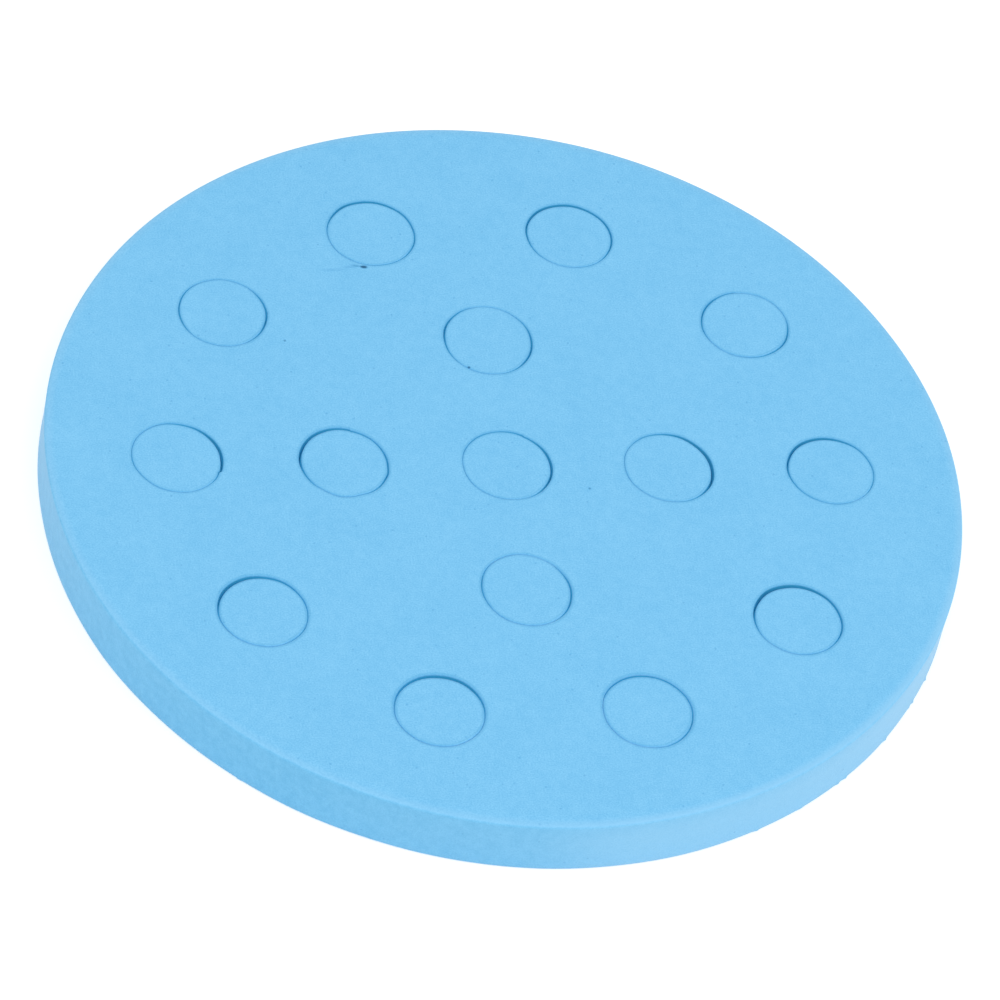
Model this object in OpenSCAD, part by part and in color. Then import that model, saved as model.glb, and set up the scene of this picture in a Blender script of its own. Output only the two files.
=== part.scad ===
// Floating rack for microtubes: a round sheet of fine closed-cell foam with one hole in the
// middle, a ring of holes around it and a larger ring outside that. Each hole was die-cut
// right through, and its knock-out plug still sits in it until the user pushes it out.
// Millimetres. The origin is the centre of the underside, +Z is up, and the row of five
// holes across the middle runs along X.

/* [Foam disc] */
// Diameter of the disc
disc_d = 112; // [100:1:130]
// Thickness of the foam sheet
disc_t = 8; // [5:0.5:14]
// Radius of the soft upper rim, where the cutting die pressed the foam down
upper_rim_r = 0.8; // [0.3:0.1:1.5]
// Radius of the soft lower rim
lower_rim_r = 0.4; // [0.2:0.1:1]

/* [Tube holes] */
// Diameter of a tube hole, a push fit on the body of a 1.5 ml microtube
hole_d = 10.8; // [8:0.1:13]
// Distance from the middle of the disc to the inner ring of holes
inner_ring_r = 20; // [16:0.5:24]
// Distance from the edge of the disc in to the middles of the outer ring's holes
outer_ring_inset = 15.6; // [13:0.2:18]
// Holes in the inner ring, evenly spaced from +X
inner_holes = 4; // [2:1:6]
// Holes in the outer ring, evenly spaced from +X
outer_holes = 10; // [4:1:14]
// Bevel that the punch left on the upper edges, on both sides of each cut
cut_bevel = 0.25; // [0.1:0.05:0.5]

/* [Knock-out plugs] */
// Clearance that the cut leaves between a plug and the wall of its hole
plug_clearance = 0.1; // [0.05:0.05:0.4]
// How far the top of a plug lies below the top of the disc
plug_sink = 0.15; // [0:0.05:1]

/* [Hidden] */
$fn = 96;
outer_ring_r = disc_d / 2 - outer_ring_inset;
overcut = 1;   // how far a cutting shape runs past the face it cuts
foam_blue = [0.50, 0.78, 0.95];
plug_blue = [0.42, 0.72, 0.92];

function ring_place(ring_r, count, i) =
    let (turn = 360 * (i - 1) / count) [ring_r * cos(turn), ring_r * sin(turn), 0];
function inner_place(i) = ring_place(inner_ring_r, inner_holes, i);
function outer_place(i) = ring_place(outer_ring_r, outer_holes, i);

// What rounds a square corner of a section to the given radius: the corner is at
// (corner_r, corner_r) from the origin, and everything past the quarter circle goes.
module corner_waste(corner_r) {
    difference() {
        square(corner_r + overcut);
        circle(corner_r);
    }
}

// The sheet as the die cut it out, with its soft rims, before the holes are punched.
module round_sheet() {
    rotate_extrude()
        difference() {
            square([disc_d / 2, disc_t]);
            translate([disc_d / 2 - upper_rim_r, disc_t - upper_rim_r])
                corner_waste(upper_rim_r);
            translate([disc_d / 2 - lower_rim_r, lower_rim_r])
                mirror([0, 1]) corner_waste(lower_rim_r);
        }
}

// What the punch takes out of the sheet: the hole and the bevel around its mouth.
module punched_hole() {
    wall_r = hole_d / 2;
    rotate_extrude()
        polygon([
            [0, -overcut],
            [wall_r, -overcut],
            [wall_r, disc_t - cut_bevel],
            [wall_r + cut_bevel + overcut, disc_t + overcut],
            [0, disc_t + overcut]
        ]);
}

// The knock-out plug, which rests level with the underside of the sheet.
module knock_out_plug() {
    plug_r = hole_d / 2 - plug_clearance;
    plug_top = disc_t - plug_sink;
    rotate_extrude()
        polygon([
            [0, 0],
            [plug_r, 0],
            [plug_r, plug_top - cut_bevel],
            [plug_r - cut_bevel, plug_top],
            [0, plug_top]
        ]);
}

module disc() {
    color(foam_blue)
        difference() {
            round_sheet();
            punched_hole();
            for (i = [1 : inner_holes])
                translate(inner_place(i)) punched_hole();
            for (i = [1 : outer_holes])
                translate(outer_place(i)) punched_hole();
        }
}

module plug_centre() {
    color(plug_blue) knock_out_plug();
}

module plug_inner(i) {
    color(plug_blue) translate(inner_place(i)) knock_out_plug();
}

module plug_outer(i) {
    color(plug_blue) translate(outer_place(i)) knock_out_plug();
}

disc();
plug_centre();
for (i = [1 : inner_holes])
    plug_inner(i);
for (i = [1 : outer_holes])
    plug_outer(i);
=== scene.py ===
# %% [markdown]
# # A floating rack for microtubes
# The real object is one round sheet of soft, fine-celled foam. Fifteen tube holes are cut
# right through it with a round knife, and the waste from each cut still sits in its hole as a
# loose plug until somebody pushes it out. So what has to be convincing is quiet: the skin of
# the foam, the rolled rim, the cut side, and fifteen thin dark lines where the knife went.
# Each step below builds one of those, from the sizes of the solid model that is loaded here.

import math
import random

import bpy
from mathutils import Matrix, Vector
from mathutils.geometry import delaunay_2d_cdt


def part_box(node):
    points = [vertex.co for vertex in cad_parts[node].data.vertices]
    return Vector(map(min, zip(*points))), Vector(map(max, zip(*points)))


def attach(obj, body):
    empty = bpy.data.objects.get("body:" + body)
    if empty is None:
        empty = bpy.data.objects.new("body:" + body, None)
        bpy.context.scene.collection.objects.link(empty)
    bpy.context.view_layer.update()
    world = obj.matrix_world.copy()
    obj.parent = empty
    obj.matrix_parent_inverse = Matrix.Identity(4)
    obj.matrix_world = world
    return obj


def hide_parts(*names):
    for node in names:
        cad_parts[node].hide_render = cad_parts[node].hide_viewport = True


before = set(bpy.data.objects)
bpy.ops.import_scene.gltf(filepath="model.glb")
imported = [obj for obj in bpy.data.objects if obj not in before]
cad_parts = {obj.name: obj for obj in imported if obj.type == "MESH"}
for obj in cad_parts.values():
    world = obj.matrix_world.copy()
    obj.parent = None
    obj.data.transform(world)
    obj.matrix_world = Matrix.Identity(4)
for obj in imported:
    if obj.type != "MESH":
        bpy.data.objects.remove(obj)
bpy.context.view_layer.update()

# %% [markdown]
# ## Sizes that come from the solids
# A visual piece that stands for a solid has to sit where the solid is, so nothing that can be
# read from the solids is typed in twice. The box of the disc gives the sheet's radius and
# thickness, and the box of each plug gives the middle of its hole and the radius of the plug.
# Only the gap that the solid model leaves round a plug can't be read off a box, so that one
# size is written down again.

# %% Read the sheet and its plugs
MM = 0.001
disc_low, disc_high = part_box("disc")
SHEET_RADIUS = (disc_high.y - disc_low.y) / 2
SHEET_THICKNESS = disc_high.z - disc_low.z
PLUG_NODES = sorted(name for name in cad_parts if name.startswith("plug_"))


def middle_of(node):
    low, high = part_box(node)
    return Vector(((low.x + high.x) / 2, (low.y + high.y) / 2))


centre_low, centre_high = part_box("plug_centre")
SOLID_GAP = 0.1 * MM
HOLE_RADIUS = (centre_high.y - centre_low.y) / 2 + SOLID_GAP
print(len(PLUG_NODES), "plugs, holes of", round(2 * HOLE_RADIUS / MM, 2), "mm")

# %% [markdown]
# ## How the knife wandered
# A die-cut hole is never the perfect circle of the drawing. The foam squashes under the knife
# and springs back, so the cut is a little off its mark, a little oval, and it has a small step
# where the two ends of the knife's blade meet. The plug that comes out is squashed too: it sits
# against one side of its hole and leaves a wider gap on the other, and it sinks a little.
#
# One short record per hole holds those habits. Sizes are in tenths of a millimetre, and a pair
# is a size and the direction it points in, in degrees:
# - stray: how far the cut missed its mark, as x and y.
# - gap: the usual width of the open cut.
# - wider: how much more it opens on one side, and less on the other.
# - oval: the same for two opposite sides.
# - long: how much the hole itself is stretched, and along which line.
# - step: how badly the blade's two ends met, and where its seam is.
# - tight: how much the hole sprang back, so that it is smaller than the drawing says.
# - sink: how far the plug has dropped.
# - worn: how many times rounder than usual the lips of the cut are.
# - kinks: small bends in the blade, each a place and a size.
#
# Most of these numbers weren't chosen freely. Separate measuring programs fitted them to one
# real rack: stray, long and tight are those programs' results, rounded, and gap, wider and oval
# began as guesses that the same programs corrected. The rest was judged, with their
# measurements at hand.

# %% Describe each cut
TENTH = 0.1 * MM


def size_and_direction(pair):
    """A size given in tenths of a millimetre and its direction in degrees, in Blender's units."""
    return pair[0] * TENTH, math.radians(pair[1])


class Cut:
    """The habits of one knocked-out hole, in tenths of a millimetre and degrees."""

    def __init__(
        self, stray, gap, wider, oval, long=(0, 0), step=(0, 0), tight=0, sink=0.1, worn=1.3, kinks=()
    ):
        self.stray = Vector(stray) * TENTH
        self.gap = gap * TENTH
        self.wider, self.towards = size_and_direction(wider)
        self.oval, self.along = size_and_direction(oval)
        self.long, self.lying = size_and_direction(long)
        self.step, self.seam = size_and_direction(step)
        self.tight = tight * TENTH
        self.sink = sink * TENTH
        self.worn = worn
        self.kinks = [(math.radians(at), size * TENTH) for at, size in kinks]


CUTS = {
    "plug_centre": Cut((-1.3, -5.2), 1.1, wider=(1.7, 23), oval=(0.5, 165), step=(0.8, 62), tight=-0.3),
    "plug_inner_1": Cut((-1.8, -4), 1.55, wider=(2.1, 22), oval=(0.5, 20), long=(0.5, 130), tight=-0.2),
    "plug_inner_2": Cut((-1, -1.3), 1.0, wider=(0.1, 0), oval=(1.2, 162), long=(0.8, 75), tight=-1),
    "plug_inner_3": Cut(
        (-0.7, -5.7), 1.9, wider=(1.3, 107), oval=(0.8, 148), long=(0.6, 107), step=(1, 76), tight=0.4,
        worn=1.7, kinks=((234, -1), (260, 1), (288, -1), (343, 1))
    ),
    "plug_inner_4": Cut(
        (-1, -1.5), 0.5, wider=(0.5, 350), oval=(1.1, 172), long=(0.8, 106), tight=-0.5, worn=1.8
    ),
    "plug_outer_1": Cut((-3.7, -4), 1.65, wider=(1.5, 113), oval=(0.5, 115), long=(0.3, 3), tight=1),
    "plug_outer_2": Cut(
        (0, -3), 0.85, wider=(0.3, 230), oval=(1.1, 143), long=(1, 38), step=(0.6, 95), tight=-0.3, worn=1.5
    ),
    "plug_outer_3": Cut((-2.4, -6.5), 1.85, wider=(1.5, 84), oval=(0.3, 138), long=(0.4, 169), tight=0.7),
    "plug_outer_4": Cut((-3.5, -11), 1.4, wider=(1.4, 72), oval=(0.6, 112), long=(0.7, 21), tight=-0.2),
    "plug_outer_5": Cut((0.5, -3.5), 0.7, wider=(0.3, 345), oval=(1.2, 171), long=(0.7, 72), tight=-0.3),
    "plug_outer_6": Cut(
        (1.2, -3.3), 1.35, wider=(1.5, 16), oval=(0.7, 19), long=(0.8, 134), step=(2, 338), tight=-0.3
    ),
    "plug_outer_7": Cut((5.7, -3.8), 1.6, wider=(1.8, 102), oval=(0.8, 122), tight=0.8, sink=0.2, worn=1.9),
    "plug_outer_8": Cut(
        (-1.7, -4.5), 1.4, wider=(2.2, 81), oval=(0.7, 75), long=(0.6, 19), tight=0.8, sink=0.2, worn=2.1
    ),
    "plug_outer_9": Cut(
        (-2.7, -1.2), 0.9, wider=(1.5, 48), oval=(0.8, 116), long=(0.3, 74), tight=0.1, worn=2.1
    ),
    "plug_outer_10": Cut((-2.5, -4.5), 2.3, wider=(2.1, 87), oval=(0.6, 117), tight=0.7, sink=0.2, worn=1.6),
}
print("cuts described:", len(CUTS), "of", len(PLUG_NODES))

# %% [markdown]
# ## A hand that isn't quite steady
# Every outline below gets a little wander, so that no edge looks turned on a lathe. A few sine
# waves that fit a whole number of times round the circle do it, because they close without a
# seam. Their phases come from a random generator with a fixed seed, so that each run of the
# script gives the same sheet.

# %% A closed wander
def wander(seed, waves, size):
    """A function of the angle that wanders smoothly by up to size, the same on each run."""
    draw = random.Random(seed)
    terms = [(wave, draw.uniform(0, math.tau), draw.uniform(0.5, 1)) for wave in waves]
    total = sum(weight for _, _, weight in terms)

    def drift(angle):
        waves_here = (weight * math.sin(wave * angle + phase) for wave, phase, weight in terms)
        return size * sum(waves_here) / total

    return drift


def steady(value):
    """A function of the angle that is the same all round."""

    def same(angle):
        return value

    return same


example = wander(1, (2, 3), 1)
print("a wander of 1 at the quarters:", [round(example(math.tau * k / 4), 2) for k in range(4)])

# %% [markdown]
# ## The line of the knife
# The blade is a strip of steel bent to a ring. Its outline is the hole's circle with four
# habits added: the hole springs back, it is stretched a little along one line, the blade's last
# stretch drifts inwards before its seam, and here and there the strip has a small kink. All of
# them are short formulas of the angle, so the hole and its plug can share one and the same cut.

# %% Where the knife went
WANDER_SEED = 41
KNIFE_WAVES, KNIFE_UNSTEADY = (3, 5, 8), 0.04 * MM
SEAM_SPREAD = math.radians(14)
KINK_SPREAD = math.radians(8)


def kink(angle):
    """A small bend in a blade: 1 at its place, and nothing a few degrees away."""
    return math.exp(-((math.remainder(angle, math.tau) / KINK_SPREAD) ** 2))


def knife_line(node):
    """The radius of the knife's cut as a function of the angle, with its wander and its seam."""
    cut = CUTS[node]
    unsteady = wander(WANDER_SEED + PLUG_NODES.index(node), KNIFE_WAVES, KNIFE_UNSTEADY)

    def radius(angle):
        before_seam = (cut.seam - angle) % math.tau
        mean = HOLE_RADIUS - cut.tight - cut.step * math.exp(-before_seam / SEAM_SPREAD)
        squashed = cut.long * math.cos(2 * (angle - cut.lying))
        bent = sum(size * kink(angle - at) for at, size in cut.kinks)
        return mean + squashed + unsteady(angle) + bent

    return radius


first_line = knife_line(PLUG_NODES[0])
first_radii = [round(first_line(math.tau * k / 4) / MM, 2) for k in range(4)]
print("radius of the first cut at the quarters, mm:", first_radii)

# %% [markdown]
# ## How far each cut stands open
# A cut in foam closes again behind the knife, except where the plug has shrunk or been pushed
# aside. So its width follows the record of its hole, and never goes below a hair. One habit is
# common to all fifteen: the punch leaned a little, so on one side every cut is a hair narrower.
# How much and where comes from averages that a measuring program gave. In the depth a cut is a
# V-shaped groove, made of real rows of points, because a slit that was only painted would look
# the same from every side. Its depth goes with the square of its width, so that a narrow cut is
# a shallow score and a wide one a real slit.

# %% The width and the depth of the open cut
GAP_SEED = WANDER_SEED + 50
GAP_WAVES, GAP_UNSTEADY = (3, 4, 7), 0.02 * MM
CLOSED_GAP = 0.02 * MM
SEAM_SHUTS = 0.6
SHUT_SPREAD = 3 * SEAM_SPREAD
DEEP_FROM = 0.25 * MM
PRESSED_SIDE = math.radians(303)
PRESSED_SPREAD = math.radians(24)
PRESSED_SHUT = 0.024 * MM


def pressed_side(angle):
    """Where the punch leaned on the foam, the same side in every hole: 1 there, 0 elsewhere."""
    return math.exp(-((math.remainder(angle - PRESSED_SIDE, math.tau) / PRESSED_SPREAD) ** 2))


def depth_of_groove(gap):
    """How deep the V of a cut goes before it is nearly shut; as deep as wide at DEEP_FROM."""
    return gap * gap / DEEP_FROM


def half_gap(node):
    """Half the width of the open cut, which both the hole and the plug lose, by angle."""
    cut = CUTS[node]
    unsteady = wander(GAP_SEED + PLUG_NODES.index(node), GAP_WAVES, GAP_UNSTEADY)

    def width(angle):
        one_sided = cut.wider * math.cos(angle - cut.towards)
        two_sided = cut.oval * math.cos(2 * (angle - cut.along))
        before_seam = (cut.seam - angle) % math.tau
        shut = SEAM_SHUTS * cut.step * math.exp(-before_seam / SHUT_SPREAD)
        usual = cut.gap + one_sided + two_sided + unsteady(angle) - shut
        return max(CLOSED_GAP, usual - PRESSED_SHUT * pressed_side(angle)) / 2

    return width


widths = [2 * half_gap(node)(math.tau * k / 36) / MM for node in PLUG_NODES for k in range(36)]
print("cuts stand open from", round(min(widths), 2), "to", round(max(widths), 2), "mm")

# %% [markdown]
# ## Rows of points
# The sheet and the plugs are all bodies of revolution that have been spoilt a little, so both
# are woven from closed rows of points. A row is one loop at one height. Two neighbouring rows
# with the same number of points are joined by four-sided faces. A small loom keeps the list of
# points and faces, which is simpler to follow than many mesh operators and leaves no doubled
# points behind.
#
# Each point also carries one number, its shading, which a material can read as an attribute.
# On the skin it is painted shade, which darkens the lip of a cut beside the dark slit. In a
# groove, where there is no skin left, it is painted light: how much light has soaked through
# the foam and made it paler. Where the cut is shut the lips get a little less painted shade.

# %% The loom
OPEN_GAP = 0.08 * MM
# How much of a lip's painted shade is left where the cut is shut
SHUT_SHADING = 0.72
SPREAD_FLAT = 1.0
SPREAD_LIP = -0.5
SKIN_KIND, CUT_KIND = 0, 1


class Loom:
    """Collects points and faces and makes one smooth mesh object of them."""

    def __init__(self):
        self.points = []
        self.shadings = []
        self.faces = []
        self.kinds = []

    def point(self, x, y, z, shading=0):
        """Adds one point with its shading: painted shade on a lip, painted soaked light in a groove."""
        self.points.append((x, y, z))
        self.shadings.append(shading)
        return len(self.points) - 1

    def row(self, centre, radius, height, count, shading=0):
        """Adds a closed loop, where radius and height are functions of the angle."""
        first = len(self.points)
        for k in range(count):
            angle = math.tau * k / count
            reach = radius(angle)
            x = centre.x + reach * math.cos(angle)
            y = centre.y + reach * math.sin(angle)
            self.point(x, y, height(angle), shading)
        return range(first, first + count)

    def spread(self, loop, half, more):
        """Weakens a loop's painted shade where the cut is shut, and adds more where the punch leaned."""
        for k, index in enumerate(loop):
            angle = math.tau * k / len(loop)
            share = SHUT_SHADING + (1 - SHUT_SHADING) * min(1, 2 * half(angle) / OPEN_GAP)
            self.shadings[index] *= share * (1 + more * pressed_side(angle))

    def spread_skin(self, loops, flats, half):
        """Spreads the painted shade of a lip's loops, of which the first few are flat and the rest round."""
        for k, loop in enumerate(loops):
            self.spread(loop, half, SPREAD_FLAT if k < flats else SPREAD_LIP)

    def face(self, corners, kind=SKIN_KIND):
        """Adds one face; kind says which of the finishes it gets."""
        self.faces.append(tuple(corners))
        self.kinds.append(kind)

    def weave(self, upper, lower, kind=SKIN_KIND):
        """Joins two loops. Seen from outside, upper is above lower on an outer wall."""
        count = len(upper)
        for k in range(count):
            after = (k + 1) % count
            self.face((upper[k], lower[k], lower[after], upper[after]), kind)

    def close(self, loop, point, facing_up):
        """Fills a loop with a fan of triangles round one middle point."""
        middle = self.point(*point)
        for k in range(len(loop)):
            pair = (loop[k], loop[(k + 1) % len(loop)])
            self.face((middle, *pair) if facing_up else (middle, *reversed(pair)))

    def make(self, name, *finishes):
        """The finished object; each face takes the finish that its kind says, and is smooth."""
        mesh = bpy.data.meshes.new(name)
        mesh.from_pydata(self.points, [], self.faces)
        mesh.shade_smooth()
        for finish in finishes:
            mesh.materials.append(finish)
        mesh.polygons.foreach_set("material_index", self.kinds)
        painted_shading = mesh.attributes.new("painted_shading", "FLOAT", "POINT")
        painted_shading.data.foreach_set("value", self.shadings)
        piece = bpy.data.objects.new(name, mesh)
        bpy.context.scene.collection.objects.link(piece)
        return piece


def quarter_turn(across, down, steps):
    """Points of a rounded edge as (how far in from the face's edge, how far down), top first."""
    turns = [math.pi / 2 * k / steps for k in range(steps + 1)]
    return [(across * (1 - math.sin(turn)), down * (1 - math.cos(turn))) for turn in turns]


rounded = [(round(across, 2), round(down, 2)) for across, down in quarter_turn(1, 1, 2)]
print("a rounded edge of 1 by 1 in two steps:", rounded)

# %% [markdown]
# ## Shader sums in plain Python
# The foam's finish is worked out from noise patterns, and that takes a lot of adding and
# multiplying. In the node editor each sum is a Math node with wires. Here one small class wraps
# a socket, so that a * 0.5 + b adds those nodes by itself, and 1 - mask works as well because
# the reflected operators are there too. Colours go through a Mix node instead, since a Math
# node would turn them grey.

# %% Sockets as numbers
class Field:
    """A value that changes over the surface."""

    def __init__(self, finish, socket):
        self.finish = finish
        self.socket = socket

    def sum(self, operation, first, second):
        return self.finish.node("ShaderNodeMath", {"operation": operation}, {0: first, 1: second})

    def __add__(self, other):
        return self.sum("ADD", self, other)

    def __sub__(self, other):
        return self.sum("SUBTRACT", self, other)

    def __rsub__(self, other):
        return self.sum("SUBTRACT", other, self)

    def __mul__(self, other):
        return self.sum("MULTIPLY", self, other)

    __radd__ = __add__
    __rmul__ = __mul__


class Finish:
    """The nodes of a material or a world under construction, with one method that adds any."""

    def __init__(self, owner):
        owner.use_nodes = True
        self.tree = owner.node_tree
        self.tree.nodes.clear()

    def node(self, kind, settings=None, sockets=None, output=0):
        """Adds a node, sets its settings first and its sockets next, and gives one output."""
        made = self.tree.nodes.new(kind)
        for name, value in (settings or {}).items():
            setattr(made, name, value)
        for key, value in (sockets or {}).items():
            if isinstance(value, Field):
                self.tree.links.new(value.socket, made.inputs[key])
            else:
                made.inputs[key].default_value = value
        return Field(self, made.outputs[output]) if made.outputs else None

    def noise(self, place, size, detail=2.0, roughness=0.5):
        """Noise whose blots are about size across, as a value round 0.5."""
        sockets = {"Vector": place, "Scale": 1 / size, "Detail": detail, "Roughness": roughness}
        return self.node("ShaderNodeTexNoise", {"normalize": True}, sockets)

    def cells(self, place, size):
        """The distance to the nearest of many scattered bubbles, about size apart."""
        sockets = {"Vector": place, "Scale": 1 / size, "Randomness": 1.0}
        return self.node("ShaderNodeTexVoronoi", {"feature": "F1"}, sockets)

    def rise(self, value, low, high):
        """A mask that is 0 below low, 1 above high and eases in between."""
        sockets = {"Value": value, "From Min": low, "From Max": high}
        return self.node("ShaderNodeMapRange", {"interpolation_type": "SMOOTHSTEP"}, sockets)

    def blend(self, mask, below, above):
        """The colour below where the mask is 0, and above where it is 1."""
        settings = {"data_type": "RGBA", "clamp_factor": True}
        return self.node("ShaderNodeMix", settings, {0: mask, 6: below, 7: above}, output=2)

    def spot(self, place, middle, long, wide, turn):
        """A mask that is 1 in the middle of a small ellipse and fades out at its edge."""
        ellipse = {"Vector": place, "Location": middle, "Rotation": (0, 0, turn)}
        ellipse["Scale"] = (long, wide, long)
        local = self.node("ShaderNodeMapping", {"vector_type": "TEXTURE"}, ellipse)
        far = self.node("ShaderNodeVectorMath", {"operation": "LENGTH"}, {0: local}, output="Value")
        return 1 - self.rise(far, 0.3, 1.0)

    def seen_directly(self):
        """A mask that is 1 for what the camera sees, straight or in a mirror or through glass."""
        rays = [
            self.node("ShaderNodeLightPath", output=name)
            for name in ("Is Camera Ray", "Is Glossy Ray", "Is Transmission Ray")
        ]
        settings = {"operation": "ADD", "use_clamp": True}
        return self.node("ShaderNodeMath", settings, {0: rays[0], 1: rays[1] + rays[2]})


# %% [markdown]
# ## The foam
# The sheet is closed-cell foam: thousands of bubbles of about a fifth of a millimetre, which
# the eye reads as a soft, even grain. An image of foam would repeat and would stretch on the
# rim, so the grain is solid noise in the object's own coordinates, which runs through the sheet
# and its plugs without a seam. It is matt, and the skin scatters a little light at a grazing
# angle, which is what a touch of sheen gives. On the cut side the knife has opened the cells,
# so the grain is cloudier there; the normal says which faces those are. The outermost
# millimetre of the skin, which the die pressed down, is painted paler: partly the pressed
# skin's own colour and partly a painted highlight along the rolled rim, stronger on the right.
# A stretch of the cut side towards the right is painted paler as well, a painted highlight
# where the light from the right falls on it.

# %% Where the foam is skin or cut, and where its highlights are painted
# The band of the outer rim that gets the paler colour and the painted rim highlight
PALE_RIM_FROM, PALE_RIM_TO = 1.4 * MM, 0.2 * MM
# The way the painted highlight on the side faces: towards the light from the right
SIDE_HIGHLIGHT_TOWARDS = math.radians(308)


def foam_masks(foam, place):
    """Masks for the skin, the painted highlights of the rim and of the side, and the lower part of the side.
    """
    facing = foam.node("ShaderNodeNewGeometry", output="Normal")
    upright = foam.node("ShaderNodeSeparateXYZ", sockets={0: facing}, output="Z")
    level = foam.node("ShaderNodeMath", {"operation": "ABSOLUTE"}, {0: upright})
    skin = foam.rise(level, 0.4, 0.9)
    outward = foam.node("ShaderNodeVectorMath", {"operation": "MULTIPLY"}, {0: place, 1: (1, 1, 0)})
    reach = foam.node("ShaderNodeVectorMath", {"operation": "LENGTH"}, {0: outward}, output="Value")
    # painted highlight along the rolled rim of the skin, with the pressed skin's paler colour
    pressed_rim_highlight = foam.rise(reach, SHEET_RADIUS - PALE_RIM_FROM, SHEET_RADIUS - PALE_RIM_TO) * skin
    compass = foam.node("ShaderNodeVectorMath", {"operation": "NORMALIZE"}, {0: outward})
    side_highlight_way = (math.cos(SIDE_HIGHLIGHT_TOWARDS), math.sin(SIDE_HIGHLIGHT_TOWARDS), 0)
    both = {0: compass, 1: side_highlight_way}
    aligned = foam.node("ShaderNodeVectorMath", {"operation": "DOT_PRODUCT"}, both, output="Value")
    # painted highlight on the stretch of the side that faces the light from the right
    side_highlight = foam.rise(aligned, 0.72, 0.9) * 0.75 + foam.rise(aligned, 0.3, 0.7) * 0.25
    height = foam.node("ShaderNodeSeparateXYZ", sockets={0: place}, output="Z")
    # the painted side highlight is weaker towards the top of the side
    low_down = 1 - foam.rise(height, 0.6 * SHEET_THICKNESS, SHEET_THICKNESS) * 0.35
    return skin, pressed_rim_highlight, side_highlight, low_down


print("rubbed towards", round(math.degrees(SIDE_HIGHLIGHT_TOWARDS)), "degrees")

# %% [markdown]
# ## Burst pores and marks
# A used rack isn't spotless. Here and there a bubble under the skin has burst, and this one has
# a dark smudge beside one hole and a few specks. A speck could be a separate little shape, but
# it has no thickness, so it is a soft ellipse in the finish: a Mapping node of the texture kind
# moves, turns and squeezes space, so that the distance from its middle makes the mask. Each mark
# is x, y, length and width in millimetres, turn in degrees, and strength. Their places were
# worked out by a measuring program from one real rack, then rounded and moved a little.

# %% Marks on the skin
DUST = (0.020, 0.320, 0.720, 1)
DIRT = (0.010, 0.120, 0.260, 1)
PORE_SPACING = 2.0 * MM
# How much darker a burst pore is painted than the skin round it
PORE_DARKENING = 0.3
MARKS = [
    (-14.3, 31.6, 0.65, 0.38, 0, 1.0),
    (-15.2, 31.8, 1.10, 0.30, -10, 0.3),
    (-15.9, 31.6, 1.60, 0.34, 8, 0.26),
    (-18.2, 31.0, 2.40, 0.34, 4, 0.2),
    (-19.7, 35.2, 0.22, 0.18, 0, 0.35),
    (-25.4, 19.0, 0.26, 0.26, 0, 0.65),
    (-3.0, 15.3, 0.28, 0.26, 0, 0.95),
    (9.6, -4.0, 0.26, 0.26, 0, 0.65),
]


def dirtied(foam, place, tone, burst):
    """The tone with its burst pores and its marks; faint ones are bluish and strong ones dark."""
    darkened = burst * PORE_DARKENING
    for x, y, long, wide, turn, strength in MARKS:
        middle = (x * MM, y * MM, SHEET_THICKNESS)
        darkened = darkened + foam.spot(place, middle, long * MM, wide * MM, math.radians(turn)) * strength
    return foam.blend(darkened, tone, foam.blend(darkened, DUST, DIRT))


print("marks on the skin:", len(MARKS))

# %% [markdown]
# ## The foam's finish put together
# Three noises do the work: a fine one for the cells, a middling one for the mottled look of cut
# foam, and a wide one for the clouds in the skin. Each pair of blues is mixed by a sum of them,
# less a constant that brings it back to the middle. The painted highlights of the rim and of the
# right side are mixed in next, and the shading of each point then paints shade on the lips of
# the cuts. The same noises feed a weak bump, so colour and relief belong together.

# %% Foam finish
SKIN_BLUE = (0.235, 0.615, 0.935, 1)
SKIN_DEEP = (0.145, 0.500, 0.835, 1)
CUT_BLUE = (0.190, 0.570, 0.890, 1)
CUT_DEEP = (0.135, 0.490, 0.810, 1)
# A paler rim, partly the pressed skin's own colour and partly a painted highlight, and a painted highlight
# for the right of the side
PRESSED_PALE_AND_HIGHLIGHT = (0.280, 0.610, 0.900, 1)
SIDE_HIGHLIGHT_PALE = (0.285, 0.635, 0.925, 1)
# Painted shade for the lips of the cuts, where the dark slit would shade them
PAINTED_SHADE_BLUE = (0.020, 0.310, 0.610, 1)
CELL = 0.2 * MM
MOTTLE = 1.1 * MM
CLOUD = 7 * MM
RELIEF = 0.05 * MM


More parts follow.
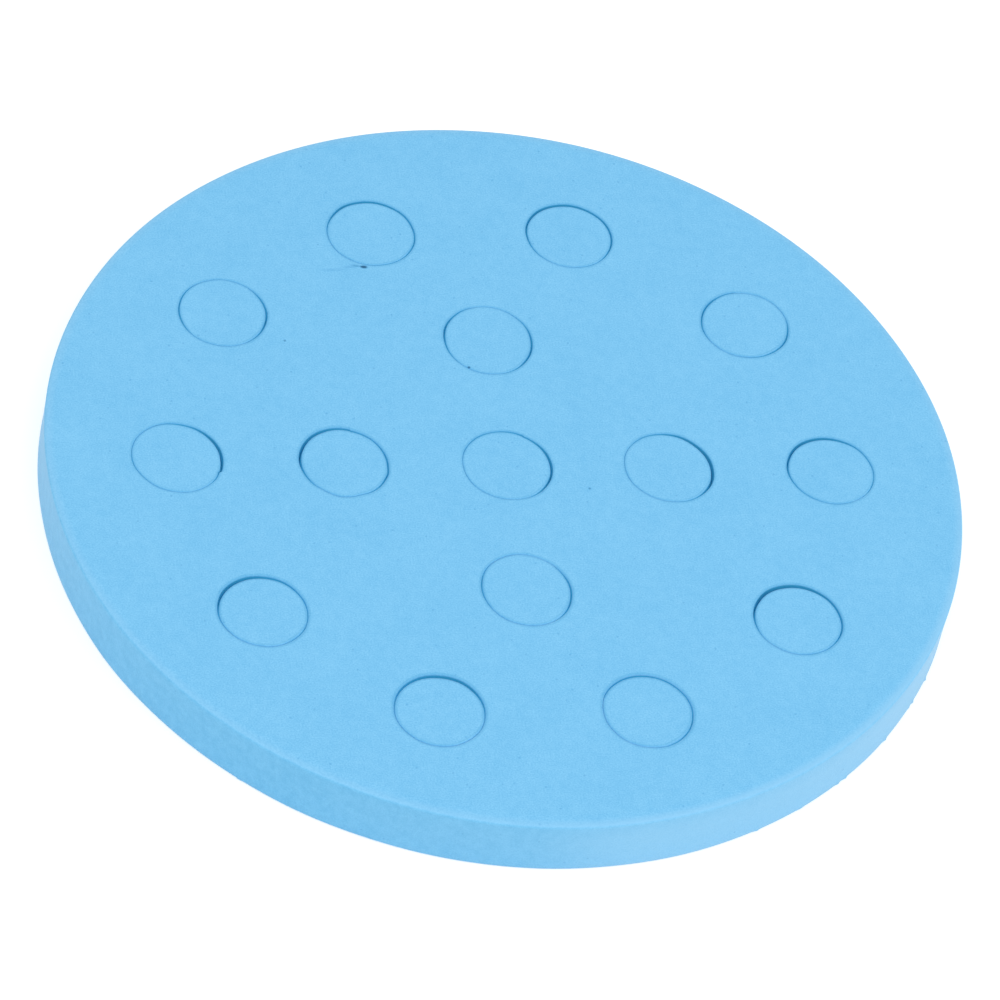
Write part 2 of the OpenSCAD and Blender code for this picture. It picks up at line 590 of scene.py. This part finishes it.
def foam_finish():
    """Fine closed-cell foam: skin, outer cut side, painted highlights, painted shade at the cuts, marks."""
    material = bpy.data.materials.new("fine_closed_cell_foam")
    foam = Finish(material)
    place = foam.node("ShaderNodeTexCoord", output="Object")
    skin, pressed_rim_highlight, side_highlight, low_down = foam_masks(foam, place)

    grain = foam.noise(place, CELL, detail=3)
    clouds = foam.noise(place, CLOUD, detail=3, roughness=0.55)
    mottle = foam.noise(place, MOTTLE, detail=2)
    skin_tone = foam.blend(grain * 2.5 + clouds * 0.4 + mottle * 0.6 - 1.25, SKIN_DEEP, SKIN_BLUE)
    # paler rim: the pressed skin's colour and a painted highlight, stronger on the right
    skin_tone = foam.blend(pressed_rim_highlight * (side_highlight * 0.35 + 0.4), skin_tone, PRESSED_PALE_AND_HIGHLIGHT)
    cut_tone = foam.blend(grain * 2.4 + mottle * 1.6 - 1.5, CUT_DEEP, CUT_BLUE)
    # painted highlight on the right of the side, weaker near the top
    cut_tone = foam.blend(side_highlight * low_down * (grain * 0.8 + 0.35), cut_tone, SIDE_HIGHLIGHT_PALE)
    tone = foam.blend(skin, cut_tone, skin_tone)
    # painted shade on the lips of the cuts, from each point's shading
    painted_shading = foam.node("ShaderNodeAttribute", {"attribute_name": "painted_shading"}, output="Fac")
    tone = foam.blend(painted_shading, tone, PAINTED_SHADE_BLUE)

    bubbles = foam.cells(place, CELL)
    burst = 1 - foam.rise(foam.cells(place, PORE_SPACING), 0.03, 0.1)
    tone = dirtied(foam, place, tone, burst)

    relief = bubbles * 0.6 + grain * 0.5 + (1 - skin) * mottle * 1.5 - burst * 1.5
    bump = foam.node("ShaderNodeBump", None, {"Strength": 0.35, "Distance": RELIEF, "Height": relief})
    dull = grain * 0.08 + skin * 0.14 + 0.6

    sockets = {
        "Base Color": tone,
        "Roughness": dull,
        "Normal": bump,
        "IOR": 1.45,
        "Sheen Weight": 0.25,
        "Sheen Roughness": 0.4,
    }
    shader = foam.node("ShaderNodeBsdfPrincipled", None, sockets)
    foam.node("ShaderNodeOutputMaterial", None, {"Surface": shader})
    return material


FOAM = foam_finish()
print("foam finish:", len(FOAM.node_tree.nodes), "nodes")

# %% [markdown]
# ## Inside the cuts
# Inside a cut the foam is never in full light. Light soaks through the thin bubble walls beside
# the slit and comes out again as a deeper, greener blue, with hardly any red left in it, and
# there is no skin that could shine. Real light transport through foam is slow to render, so
# that look is written down as a colour of its own, a painted shade: a dull, saturated blue for
# the walls of the holes and the sides of the plugs only. Further down, where all the light has
# come through the foam, it is painted paler, and there the points' shading says how far it has
# soaked.

# %% Opened foam
# The cut's walls in painted shade, and paler where painted light has soaked through
SHADED_OPENED_BLUE = (0.060, 0.400, 0.650, 1)
SHADED_OPENED_DEEP = (0.035, 0.330, 0.570, 1)
SOAKED_BLUE = (0.085, 0.560, 0.850, 1)


def shaded_opened_finish():
    """The walls that the hole knife left, which only a slit of light ever reaches."""
    material = bpy.data.materials.new("shaded_opened_foam_in_the_cuts")
    foam = Finish(material)
    place = foam.node("ShaderNodeTexCoord", output="Object")
    grain = foam.noise(place, CELL, detail=3)
    mottle = foam.noise(place, MOTTLE, detail=2)
    tone = foam.blend(grain * 0.6 + mottle * 0.8 - 0.2, SHADED_OPENED_DEEP, SHADED_OPENED_BLUE)
    soaked = foam.node("ShaderNodeAttribute", {"attribute_name": "painted_shading"}, output="Fac")
    tone = foam.blend(soaked, tone, SOAKED_BLUE)
    bump = foam.node("ShaderNodeBump", None, {"Strength": 0.4, "Distance": RELIEF, "Height": grain})
    dull = grain * 0.1 + 0.85
    sockets = {"Base Color": tone, "Roughness": dull, "Normal": bump, "Specular IOR Level": 0.1}
    shader = foam.node("ShaderNodeBsdfPrincipled", None, sockets)
    foam.node("ShaderNodeOutputMaterial", None, {"Surface": shader})
    return material


SHADED_OPENED = shaded_opened_finish()
print("opened foam:", len(SHADED_OPENED.node_tree.nodes), "nodes")

# %% [markdown]
# ## The sheet's outline
# The outer edge was cut by one big die. Its blade leaves the side faintly hollow, because the
# foam bulges while it is cut and pulls back in afterwards, and it drags the upper skin over the
# edge, so the upper rim is rolled while the lower one is nearly sharp. Where the blade let go
# last it tore a few tiny tags loose along the lower edge. They are real shapes in the
# silhouette, so they are made in the mesh and not as a bump. Each tag is its direction in
# degrees, how far it stands out in millimetres, and its width in degrees. The directions are
# the results of a program that measured one real rack, kept to a tenth of a degree. How far
# the tags stand out follows its results roughly, and their widths were judged.

# %% Rim, side and torn tags
RIM_POINTS = 1024
RIM_ROLL = (0.5 * MM, 0.42 * MM)
SHOULDER = (1.3 * MM, 0.12 * MM)
FOOT_ROLL = (0.35 * MM, 0.3 * MM)
RIM_STEPS, FOOT_STEPS, SIDE_STEPS = 8, 4, 8
TOP_FLATS = (3.0 * MM, 2.4 * MM)
FOOT_FLATS = (1.2 * MM, 2.0 * MM)
SIDE_HOLLOW = 0.05 * MM
TAG_HEIGHT = 0.9 * MM
TAG_ROOT = 1.2 * MM
TAGS = [
    (296.7, 0.16, 0.7),
    (303.5, 0.10, 0.9),
    (310.0, 0.16, 0.6),
    (311.4, 0.22, 0.5),
    (319.9, 0.20, 0.6),
    (326.2, 0.10, 0.5),
    (327.3, 0.18, 0.4),
    (331.5, 0.22, 0.4),
    (230.4, 0.15, 0.5),
]
EDGE_SEED, FOOT_SEED = 7, 8
EDGE_UNSTEADY = 0.06 * MM
edge_wander = wander(EDGE_SEED, (2, 3, 4, 7, 11), EDGE_UNSTEADY)
foot_wander = wander(FOOT_SEED, (5, 9, 14, 23), EDGE_UNSTEADY)


def tags(angle):
    """How far the torn tags stand out of the lower edge at an angle."""
    out = 0
    for azimuth, reach, width in TAGS:
        away = (math.degrees(angle) - azimuth + 180) % 360 - 180
        out += reach * MM * math.exp(-((away / (width / 2)) ** 2))
    return out


def rim_radius(inward, height):
    """The sheet's outline at a height, or a loop a little inside it, by the angle."""
    share = height / SHEET_THICKNESS
    hollow = SIDE_HOLLOW * 4 * share * (1 - share)
    torn = max(0, 1 - height / TAG_HEIGHT) * max(0, 1 - inward / TAG_ROOT)

    def radius(angle):
        ragged = foot_wander(angle) * (1 - share) + tags(angle) * torn
        return SHEET_RADIUS + edge_wander(angle) - hollow + ragged - inward

    return radius


def rim_rows():
    """The edge's rows as (how far in from the side, height), from the top face to the foot."""
    edge = SHEET_THICKNESS - SHOULDER[1]
    rows = [(inward, SHEET_THICKNESS) for inward in TOP_FLATS]
    for share in (0, 0.2, 0.4, 0.6, 0.8):
        rows.append((RIM_ROLL[0] + SHOULDER[0] * (1 - share), SHEET_THICKNESS - SHOULDER[1] * share ** 2))
    rows += [(across, edge - down) for across, down in quarter_turn(*RIM_ROLL, RIM_STEPS)]
    side = edge - RIM_ROLL[1] - FOOT_ROLL[1]
    rows += [(0, FOOT_ROLL[1] + side * k / SIDE_STEPS) for k in range(SIDE_STEPS - 1, 0, -1)]
    rows += reversed(quarter_turn(*FOOT_ROLL, FOOT_STEPS))
    return rows + [(inward, 0) for inward in FOOT_FLATS]


print("edge of the sheet:", len(rim_rows()), "rows of", RIM_POINTS, "points and", len(TAGS), "tags")

# %% [markdown]
# ## The sheet
# The top of the sheet is a flat face with fifteen openings. A fan of triangles can't make that,
# and one huge face with holes shades badly, so the flat part is a triangulated field: the
# loops round the rim and the holes are its borders, a loose grid of points fills the middle,
# and a constrained Delaunay triangulation joins them. The rims are woven down from the same
# border points, so the whole sheet is one closed skin from face to face.

# %% The lips and the walls of a hole
HOLE_POINTS = 120
LIP_ROLL = (0.12 * MM, 0.10 * MM)
LIP_STEPS, LIP_FOOT_STEPS = 4, 3
# rows of the skin beside a hole: how far out in millimetres, and their painted shade
MOUTH_ROWS = [(0.23, 0), (0.13, 0.08), (0.06, 0.19)]
MOUTH_BORDER = 0.35 * MM
MOUTH_FLATS = len(MOUTH_ROWS) + 1
SKIN_LOOPS = MOUTH_FLATS + LIP_STEPS + 1
# painted shade on a sharp lip, at its top and inside, and the even painted shade of a worn lip
LIP_SHADINGS = (0.25, 0.46)
WORN_SHADING = 0.32
WORN_PALER = 0.3
GROOVE = [(0.3, 0.95, 0.1), (0.6, 0.7, 0.35), (0.85, 0.4, 0.7), (1.1, 0.12, 1)]
WALL_HEIGHTS = (5.0 * MM, 2.5 * MM, 0.6 * MM)
LOW_SHARE = 0.4
LOW_FLATS = (0.35 * MM, 0.7 * MM)
LOW_LOOPS = 4


def lip_shading(worn, inwards):
    """How much painted shade a lip gets on its way into the cut: a sharp one most inside, a worn one evenly.
    """
    sharp = LIP_SHADINGS[0] + (LIP_SHADINGS[1] - LIP_SHADINGS[0]) * inwards
    return sharp + (WORN_SHADING - sharp) * min(1, worn - 1)


def paler_where_lit(worn):
    """How much paler the walls of a worn groove are, where light gets in."""
    return WORN_PALER * (worn - 1)


def lip_rows(worn):
    """A hole's rows from the top face to the bottom, where worn lips are wider than usual.

    Each has how far out, the height, how deep in the groove, the share of the gap left open,
    and the painted shading of the foam. GROOVE has the last three of them for the rows down the groove.
    """
    paler = paler_where_lit(worn)
    roll = [size * worn for size in LIP_ROLL]
    flat = [(roll[0] + out * MM, shading) for out, shading in MOUTH_ROWS]
    flat.insert(0, (flat[0][0] + MOUTH_BORDER, 0))
    rows = [(out, SHEET_THICKNESS, 0, 1, shading) for out, shading in flat]
    for across, down in quarter_turn(*roll, LIP_STEPS):
        shading = lip_shading(worn, 1 - across / roll[0])
        rows.append((across, SHEET_THICKNESS - down, 0, 1, shading))
    for deep, share, soaked in GROOVE:
        rows.append((0, SHEET_THICKNESS - roll[1], deep, share, min(1, soaked + paler)))
    rows += [(0, height, 0, GROOVE[-1][1], 1) for height in WALL_HEIGHTS]
    for across, down in reversed(quarter_turn(*LIP_ROLL, LIP_FOOT_STEPS)):
        rows.append((across, down, 0, LOW_SHARE, 0))
    return rows + [(out, 0, 0, LOW_SHARE, 0) for out in LOW_FLATS]


print("rows of a hole:", len(lip_rows(1)), "of which in the skin:", SKIN_LOOPS)

# %% [markdown]
# ## One hole
# All the rows of a hole follow the same knife's line. A row on the lip lies a little outside
# it, and a row in the groove gives back a share of the open gap, so that the groove narrows as
# it goes down. Boolean cutters could make the holes, but they leave long thin faces round each
# rim, which shade badly and can't carry a bruise from row to row.

# %% Weave one hole
def hole_middle(node):
    return middle_of(node) + CUTS[node].stray


def hole_radius(line, half, outward, share):
    """One row's radius: the knife's line, its share of the open gap, and the lip outside it."""

    def radius(angle):
        return line(angle) + half(angle) * share + outward

    return radius


def groove_height(half, height, deep):
    """One row's height, which goes down by some share of the depth of the groove."""

    def level(angle):
        return height - deep * depth_of_groove(2 * half(angle))

    return level


def weave_hole(loom, node):
    """Adds a hole's lips and wall, and gives its mouth in the top face and in the bottom face.

    A mouth is its loop of points, its middle and its radius as a function of the angle.
    """
    line, half, middle = knife_line(node), half_gap(node), hole_middle(node)
    mouths = []
    for outward, height, deep, share, shading in lip_rows(CUTS[node].worn):
        radius = hole_radius(line, half, outward, share)
        loop = loom.row(middle, radius, groove_height(half, height, deep), HOLE_POINTS, shading)
        mouths.append((loop, middle, radius))
    loops = [loop for loop, _, _ in mouths]
    loom.spread_skin(loops[:SKIN_LOOPS], MOUTH_FLATS, half)
    for k, (upper, lower) in enumerate(zip(loops, loops[1:])):
        in_the_cut = SKIN_LOOPS - 1 <= k < len(loops) - LOW_LOOPS
        loom.weave(lower, upper, CUT_KIND if in_the_cut else SKIN_KIND)
    return mouths[0], mouths[-1]


# %% [markdown]
# ## The flat faces
# The field between the holes needs no shape of its own, only an even spread of points, so that
# its triangles are neither huge nor thin. A staggered grid gives that. Points that would fall
# too near a mouth or the rim are left out, and triangles that would bridge a hole are dropped.

# %% Fill a flat face
FLAT_GRID = 2.6 * MM
ROW_SPACING = 0.87
CLEAR_OF_RIM = 3.8 * MM
CLEAR_OF_MOUTH = 0.8 * MM


def fill_flat(loom, border, mouths, height, facing_up):
    """Triangulates the flat face between the rim's border and the mouths of the holes."""
    used = list(border)
    edges = [(k, (k + 1) % len(border)) for k in range(len(border))]
    for loop, _, _ in mouths:
        start, count = len(used), len(loop)
        edges += [(start + k, start + (k + 1) % count) for k in range(count)]
        used += loop

    def beyond_mouths(spot, clear):
        for _, middle, mouth in mouths:
            away = spot - middle
            if away.length < mouth(math.atan2(away.y, away.x)) + clear:
                return False
        return True

    reach = SHEET_RADIUS - CLEAR_OF_RIM
    steps = int(reach / FLAT_GRID) + 1
    for row in range(-steps, steps + 1):
        for column in range(-steps, steps + 1):
            spot = Vector(((column + row % 2 / 2) * FLAT_GRID, row * FLAT_GRID * ROW_SPACING))
            if spot.length < reach and beyond_mouths(spot, CLEAR_OF_MOUTH):
                used.append(loom.point(spot.x, spot.y, height))
    flat = [Vector(loom.points[index][:2]) for index in used]
    _, _, triangles, sources, _, _ = delaunay_2d_cdt(flat, edges, [], 0, 1e-9)
    for triangle in triangles:
        corners = [used[sources[k][0]] for k in triangle]
        points = [Vector(loom.points[k][:2]) for k in corners]
        if beyond_mouths((points[0] + points[1] + points[2]) / 3, 0):
            turned = (points[1] - points[0]).cross(points[2] - points[0]) > 0
            loom.face(corners if turned == facing_up else reversed(corners))


# %% [markdown]
# ## Sheet in one piece
# The edge comes first, then each hole, and last the two flat faces that join them. The order
# matters only to the loom, which numbers its points as they come.

# %% Build the sheet
def weave_edge(loom):
    """Adds the sheet's edge, and gives its loops from the top face to the bottom face."""
    loops = []
    for inward, height in rim_rows():
        loops.append(loom.row(Vector((0, 0)), rim_radius(inward, height), steady(height), RIM_POINTS))
    for upper, lower in zip(loops, loops[1:]):
        loom.weave(upper, lower)
    return loops


def build_sheet():
    loom = Loom()
    edge = weave_edge(loom)
    top_mouths, bottom_mouths = zip(*[weave_hole(loom, node) for node in PLUG_NODES])
    fill_flat(loom, edge[0], top_mouths, SHEET_THICKNESS, True)
    fill_flat(loom, edge[-1], bottom_mouths, 0, False)
    return loom.make("foam_sheet", FOAM, SHADED_OPENED)


sheet = build_sheet()
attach(sheet, "root")
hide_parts("disc")
print("sheet:", len(sheet.data.vertices), "points,", len(sheet.data.polygons), "faces")

# %% [markdown]
# ## The knocked-out plugs
# A plug is the other half of the same cut, so its outline is the knife's line less half the
# open width of the cut, which is what makes the dark line thick on one side and thin on the
# other. A perfect cylinder would give an even ring round every hole and would look machined.
# The plug's skin lies a hair below the skin of the sheet, never above it, and its lip is worn
# a little rounder where the gap is wide. Every row of a plug is a small change of the same
# outline, so the builder's inner functions need only say how far in and how far down it lies.

# %% Build a plug for each hole
PLUG_LIP = (0.10 * MM, 0.08 * MM)
ROLLED_MORE = 0.03 * MM
FOOT_CLEAR = 0.05 * MM
PLUG_LIP_STEPS, PLUG_FOOT_STEPS = 5, 4
PLUG_FIELD = (0.3, 0.6, 0.85)
PLUG_FOOT_FIELD = (0.92, 0.6, 0.3)
# rows of a plug's skin next to its lip: how far in, as a share, and their painted shade
PLUG_ROWS = [(0.05, 0), (0.03, 0.06), (0.014, 0.17)]


def build_plug(node):
    """The plug of one hole: a skin down to the foot of its lip, the cut walls, and an underside."""
    cut = CUTS[node]
    line, half = knife_line(node), half_gap(node)
    centre = hole_middle(node)
    loom = Loom()
    top, foot = SHEET_THICKNESS - cut.sink, FOOT_CLEAR
    lip = [size * cut.worn for size in PLUG_LIP]
    paler = paler_where_lit(cut.worn)

    def side(angle, share=1):
        return line(angle) - half(angle) * share

    def rolled(angle):
        return ROLLED_MORE * max(0, math.cos(angle - cut.towards)) ** 2

    def row(inward, height, share=1, deep=0, roll_in=0, roll_down=0, shading=0):
        """A loop a little in from the side, which the worn part of the lip moves in and down."""

        def reach(angle):
            return side(angle, share) - inward - roll_in * rolled(angle)

        def level(angle):
            return height - deep * depth_of_groove(2 * half(angle)) - roll_down * rolled(angle)

        return loom.row(centre, reach, level, HOLE_POINTS, shading)

    def flat_row(part, height, shading=0):
        """A loop of a flat face, at a part of the way out to where the lip begins."""

        def reach(angle):
            return part * (side(angle) - lip[0] - rolled(angle))

        return loom.row(centre, reach, steady(height), HOLE_POINTS, shading)

    skin = [flat_row(part, top) for part in PLUG_FIELD]
    skin += [flat_row(1 - inside, top, shading) for inside, shading in PLUG_ROWS]
    flats = len(skin)
    for across, down in quarter_turn(*lip, PLUG_LIP_STEPS):
        part = across / lip[0]
        shading = lip_shading(cut.worn, 1 - part)
        skin.append(row(across, top - down, roll_in=part, roll_down=1 - part, shading=shading))
    lip_foot = top - lip[1]
    walls = skin[-1:]
    for deep, share, soaked in GROOVE:
        walls.append(row(0, lip_foot, share, deep, roll_down=1, shading=min(1, soaked + paler)))
    walls += [row(0, height, GROOVE[-1][1], shading=1) for height in WALL_HEIGHTS]
    low_turn = reversed(quarter_turn(*PLUG_LIP, PLUG_FOOT_STEPS))
    underside = [row(across, foot + down, LOW_SHARE) for across, down in low_turn]
    walls.append(underside[0])
    underside += [flat_row(part, foot) for part in PLUG_FOOT_FIELD]
    loom.close(skin[0], (centre.x, centre.y, top), True)
    loom.spread_skin(skin, flats, half)
    for kind, rows in ((SKIN_KIND, skin), (CUT_KIND, walls), (SKIN_KIND, underside)):
        for upper, lower in zip(rows, rows[1:]):
            loom.weave(upper, lower, kind)
    loom.close(underside[-1], (centre.x, centre.y, foot), False)
    return loom.make(node.replace("plug", "knocked_out_plug"), FOAM, SHADED_OPENED)


for node in PLUG_NODES:
    plug = build_plug(node)
    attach(plug, "root")
    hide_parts(node)
print("plugs:", len(PLUG_NODES), "of", len(plug.data.polygons), "faces each")

# %% [markdown]
# ## Floor
# The rack lies on a plain pale floor. A floor lit only by lamps ends up grey somewhere, so to
# the camera it is half paint and half glow, which is white in the open and still shows the
# soft shadow under the foam. To all other light it is pale paint with only a faint lift, and
# that is what brightens the sheet's side from below.

# %% Pale floor
FLOOR_DROP = 0.05 * MM
FLOOR_GLOW = 0.42
FLOOR_LIFT = 0.05
FLOOR_PAINT = (0.8, 0.8, 0.8, 1)
FLOOR_REACHES = (0.2, 0.6, 2.0, 6.0)
FLOOR_POINTS = 64
WHITE = (1, 1, 1, 1)


def pale_floor():
    material = bpy.data.materials.new("pale_studio_floor")
    paper = Finish(material)
    paint = paper.node("ShaderNodeBsdfDiffuse", None, {"Color": FLOOR_PAINT})
    glow = paper.node("ShaderNodeEmission", None, {"Color": WHITE, "Strength": FLOOR_GLOW})
    lift = paper.node("ShaderNodeEmission", None, {"Color": WHITE, "Strength": FLOOR_LIFT})
    seen = paper.node("ShaderNodeAddShader", None, {0: paint, 1: glow})
    felt = paper.node("ShaderNodeAddShader", None, {0: paint, 1: lift})
    shown = paper.node("ShaderNodeMixShader", None, {0: paper.seen_directly(), 1: felt, 2: seen})
    paper.node("ShaderNodeOutputMaterial", None, {"Surface": shown})
    loom = Loom()
    loops = []
    for reach in FLOOR_REACHES:
        loops.append(loom.row(Vector((0, 0)), steady(reach), steady(-FLOOR_DROP), FLOOR_POINTS))
    loom.close(loops[0], (0, 0, -FLOOR_DROP), True)
    for inner, outer in zip(loops, loops[1:]):
        loom.weave(inner, outer)
    return loom.make("studio_floor", material)


floor = pale_floor()
print("floor:", 2 * FLOOR_REACHES[-1], "m across")

# %% [markdown]
# ## Light
# Soft foam hardly shows its form in hard light, and product light is soft: a bright white room
# all round, one large lamp in front that wakes up the rolled rim, one at the right that makes
# that side of the edge paler, and a weaker one at the left. All of them are large for such a
# small object, so no shadow has a hard edge. Together they are set so that a colour comes out
# about as it is written.

# %% White room and three soft boxes
ROOM_LEVEL = 0.70
LAMP_AWAY, LAMP_SIZE = 1.2, 0.9


def white_room():
    world = bpy.data.worlds.new("white_room")
    bpy.context.scene.world = world
    room = Finish(world)
    light = room.node("ShaderNodeBackground", None, {"Color": WHITE, "Strength": ROOM_LEVEL})
    white = room.node("ShaderNodeBackground", None, {"Color": WHITE, "Strength": 1.0})
    shown = room.node("ShaderNodeMixShader", None, {0: room.seen_directly(), 1: light, 2: white})
    room.node("ShaderNodeOutputWorld", None, {"Surface": shown})


def soft_box(name, azimuth, elevation, watts):
    """A square lamp that faces the rack from a compass direction, measured from +X."""
    lamp = bpy.data.lights.new(name, "AREA")
    lamp.shape = "SQUARE"
    lamp.size = LAMP_SIZE
    lamp.energy = watts
    holder = bpy.data.objects.new(name, lamp)
    bpy.context.scene.collection.objects.link(holder)
    turn, rise = math.radians(azimuth), math.radians(elevation)
    towards = Vector((math.cos(turn) * math.cos(rise), math.sin(turn) * math.cos(rise), math.sin(rise)))
    holder.location = towards * LAMP_AWAY
    holder.rotation_mode = "QUATERNION"
    holder.rotation_quaternion = towards.to_track_quat("Z", "Y")
    print(name, "gives", watts, "watts")


white_room()
soft_box("front_soft_box", azimuth=245, elevation=55, watts=3.0)
soft_box("right_soft_box", azimuth=330, elevation=35, watts=3.5)
soft_box("left_soft_box", azimuth=190, elevation=25, watts=1.8)

# %% [markdown]
# ## Camera
# A long lens from well back keeps the disc nearly free of perspective, as in a catalogue
# picture. The camera looks down at the sheet from the front, a little from the left, and it is
# rolled, so that the row of five holes runs level across the picture. Its place, aim, roll and
# lens are the rounded results of a separate program that fitted them to a view of a real rack.

# %% Camera
CAMERA_PLACE = Vector((-161.6, -533.2, 609.4)) * MM
CAMERA_AIM = Vector((-0.6, -2.6, 4.0)) * MM
CAMERA_ROLL = math.radians(13.68)
LENS_MM, SENSOR_MM = 245, 36

view = bpy.data.cameras.new("catalogue_view")
view.lens = LENS_MM
view.sensor_width = SENSOR_MM
camera = bpy.data.objects.new("catalogue_view", view)
bpy.context.scene.collection.objects.link(camera)
level_view = (CAMERA_PLACE - CAMERA_AIM).to_track_quat("Z", "Y").to_matrix().to_4x4()
rolled_view = level_view @ Matrix.Rotation(CAMERA_ROLL, 4, "Z")
camera.matrix_world = Matrix.Translation(CAMERA_PLACE) @ rolled_view
bpy.context.scene.camera = camera
bpy.context.scene.view_settings.view_transform = "Standard"
print("camera stands", round((CAMERA_PLACE - CAMERA_AIM).length, 2), "m away")
